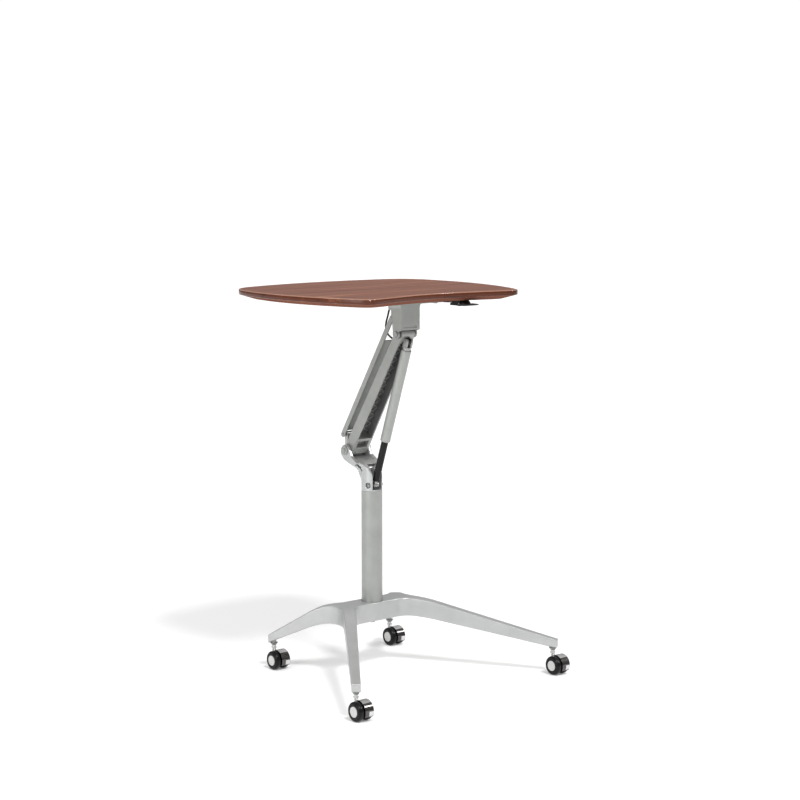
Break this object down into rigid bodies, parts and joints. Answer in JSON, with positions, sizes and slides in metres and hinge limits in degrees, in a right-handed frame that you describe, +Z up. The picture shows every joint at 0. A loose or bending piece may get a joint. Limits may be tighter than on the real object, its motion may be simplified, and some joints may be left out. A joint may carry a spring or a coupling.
{
  "type": "mobile laptop desk",
  "caption": "Height-adjustable laptop desk on casters: kidney-shaped worktop on a gas-sprung parallel arm, round column and low four-leg base.",
  "frame": {"origin": "on the floor under the middle of the desk's bounding box, arm raised", "axes": "+X to the user's right, +Y away from the user, +Z up"},
  "size_m": [0.728, 0.6623, 1.04],
  "materials": {
    "silver_paint": "satin powder coat",
    "walnut_top": "semi-gloss laminate with a walnut grain",
    "black_plastic": "matte",
    "grey_plastic": "matte",
    "black_paint": "satin black paint",
    "bright_steel": "bright",
    "dark_steel": "zinc plated",
    "dark_chrome": "gloss dark metallic",
    "tab_plastic": "light grey",
    "wheel_rubber": "soft tread"
  },
  "bodies": {
    "base": {"base": "silver_paint", "column": "silver_paint", "column_bolt": "dark_steel", "yoke": "silver_paint", "yoke_screws": "dark_steel", "lower_arm_pin": "dark_steel", "lower_link_pin": "dark_steel", "arm_bushes": "black_plastic", "pivot_caps": "silver_paint", "spring_bolt_heads": "dark_steel", "caster_sockets": "bright_steel"},
    "main_arm": {"main_arm": "silver_paint", "spring_lug": "black_paint"},
    "rear_link": {"rear_link": "silver_paint"},
    "top": {"worktop": "walnut_top", "top_bracket": "silver_paint", "bracket_screws": "dark_steel", "lever_housing": "black_plastic", "housing_screws": "dark_steel", "lever_pin": "dark_steel", "release_cable": "black_plastic", "cable_loop": "black_plastic", "cable_clips": "black_plastic", "upper_arm_pin": "dark_steel", "upper_link_pin": "dark_steel"},
    "lever": {"release_lever": "grey_plastic"},
    "spring_cover": {"spring_clevis": "silver_paint", "spring_cover": "silver_paint", "spring_rod": "bright_steel", "spring_upper_pin": "dark_steel"},
    "spring_cylinder": {"spring_cylinder": "black_paint", "spring_eye": "dark_steel"},
    "caster_fl": {"caster_fl": "dark_chrome", "axle_fl": "bright_steel", "plate_fl": "tab_plastic"},
    "wheel_fl_left": {"wheel_fl_left": "wheel_rubber"},
    "wheel_fl_right": {"wheel_fl_right": "wheel_rubber"},
    "caster_fr": {"caster_fr": "dark_chrome", "axle_fr": "bright_steel", "plate_fr": "tab_plastic"},
    "wheel_fr_left": {"wheel_fr_left": "wheel_rubber"},
    "wheel_fr_right": {"wheel_fr_right": "wheel_rubber"},
    "caster_rl": {"caster_rl": "dark_chrome", "axle_rl": "bright_steel", "plate_rl": "tab_plastic"},
    "wheel_rl_left": {"wheel_rl_left": "wheel_rubber"},
    "wheel_rl_right": {"wheel_rl_right": "wheel_rubber"},
    "caster_rr": {"caster_rr": "dark_chrome", "axle_rr": "bright_steel", "plate_rr": "tab_plastic"},
    "wheel_rr_left": {"wheel_rr_left": "wheel_rubber"},
    "wheel_rr_right": {"wheel_rr_right": "wheel_rubber"}
  },
  "joints": [
    {"name": "arm_lift", "type": "hinge", "parent": "base", "child": "main_arm", "pos_m": [0, 0.1372, 0.596], "axis": [1, 0, 0], "range_deg": [0, 57]},
    {"name": "link_lift", "type": "hinge", "parent": "base", "child": "rear_link", "pos_m": [0, 0.1622, 0.636], "axis": [1, 0, 0], "range_deg": [0, 57]},
    {"name": "top_level", "type": "hinge", "parent": "main_arm", "child": "top", "pos_m": [0, -0.06947, 0.92674], "axis": [1, 0, 0], "range_deg": [-57, 0], "deforming": ["cable_loop"]},
    {"name": "lever_pull", "type": "hinge", "parent": "top", "child": "lever", "pos_m": [0.118, -0.1688, 1.006], "axis": [1, 0, 0], "range_deg": [-6, 0], "stiffness_Nm_per_rad": 0.4},
    {"name": "spring_swing", "type": "hinge", "parent": "main_arm", "child": "spring_cover", "pos_m": [0, -0.08347, 0.90774], "axis": [1, 0, 0], "range_deg": [-0.51, 0.05]},
    {"name": "spring_stroke", "type": "slide", "parent": "spring_cover", "child": "spring_cylinder", "axis": [0, -0.3298, 0.944], "range_m": [0, 0.1147]},
    {"name": "swivel_fl", "type": "hinge", "parent": "base", "child": "caster_fl", "pos_m": [-0.341, -0.2858, 0.07], "axis": [0, 0, 1], "continuous": true},
    {"name": "roll_fl_left", "type": "hinge", "parent": "caster_fl", "child": "wheel_fl_left", "pos_m": [-0.3555, -0.3038, 0.0255], "axis": [1, 0, 0], "continuous": true},
    {"name": "roll_fl_right", "type": "hinge", "parent": "caster_fl", "child": "wheel_fl_right", "pos_m": [-0.3265, -0.3038, 0.0255], "axis": [1, 0, 0], "continuous": true},
    {"name": "swivel_fr", "type": "hinge", "parent": "base", "child": "caster_fr", "pos_m": [0.341, -0.2858, 0.07], "axis": [0, 0, 1], "continuous": true},
    {"name": "roll_fr_left", "type": "hinge", "parent": "caster_fr", "child": "wheel_fr_left", "pos_m": [0.3265, -0.3038, 0.0255], "axis": [1, 0, 0], "continuous": true},
    {"name": "roll_fr_right", "type": "hinge", "parent": "caster_fr", "child": "wheel_fr_right", "pos_m": [0.3555, -0.3038, 0.0255], "axis": [1, 0, 0], "continuous": true},
    {"name": "swivel_rl", "type": "hinge", "parent": "base", "child": "caster_rl", "pos_m": [-0.205, 0.2422, 0.07], "axis": [0, 0, 1], "continuous": true},
    {"name": "roll_rl_left", "type": "hinge", "parent": "caster_rl", "child": "wheel_rl_left", "pos_m": [-0.2195, 0.2242, 0.0255], "axis": [1, 0, 0], "continuous": true},
    {"name": "roll_rl_right", "type": "hinge", "parent": "caster_rl", "child": "wheel_rl_right", "pos_m": [-0.1905, 0.2242, 0.0255], "axis": [1, 0, 0], "continuous": true},
    {"name": "swivel_rr", "type": "hinge", "parent": "base", "child": "caster_rr", "pos_m": [0.205, 0.2422, 0.07], "axis": [0, 0, 1], "continuous": true},
    {"name": "roll_rr_left", "type": "hinge", "parent": "caster_rr", "child": "wheel_rr_left", "pos_m": [0.1905, 0.2242, 0.0255], "axis": [1, 0, 0], "continuous": true},
    {"name": "roll_rr_right", "type": "hinge", "parent": "caster_rr", "child": "wheel_rr_right", "pos_m": [0.2195, 0.2242, 0.0255], "axis": [1, 0, 0], "continuous": true}
  ],
  "couplings": [
    {"joint": "link_lift", "follows": "arm_lift", "ratio": 1},
    {"joint": "top_level", "follows": "arm_lift", "ratio": -1},
    {"joint": "spring_swing", "follows": "arm_lift", "ratio": -0.008},
    {"joint": "spring_stroke", "follows": "arm_lift", "m_per_rad": 0.11508}
  ]
}
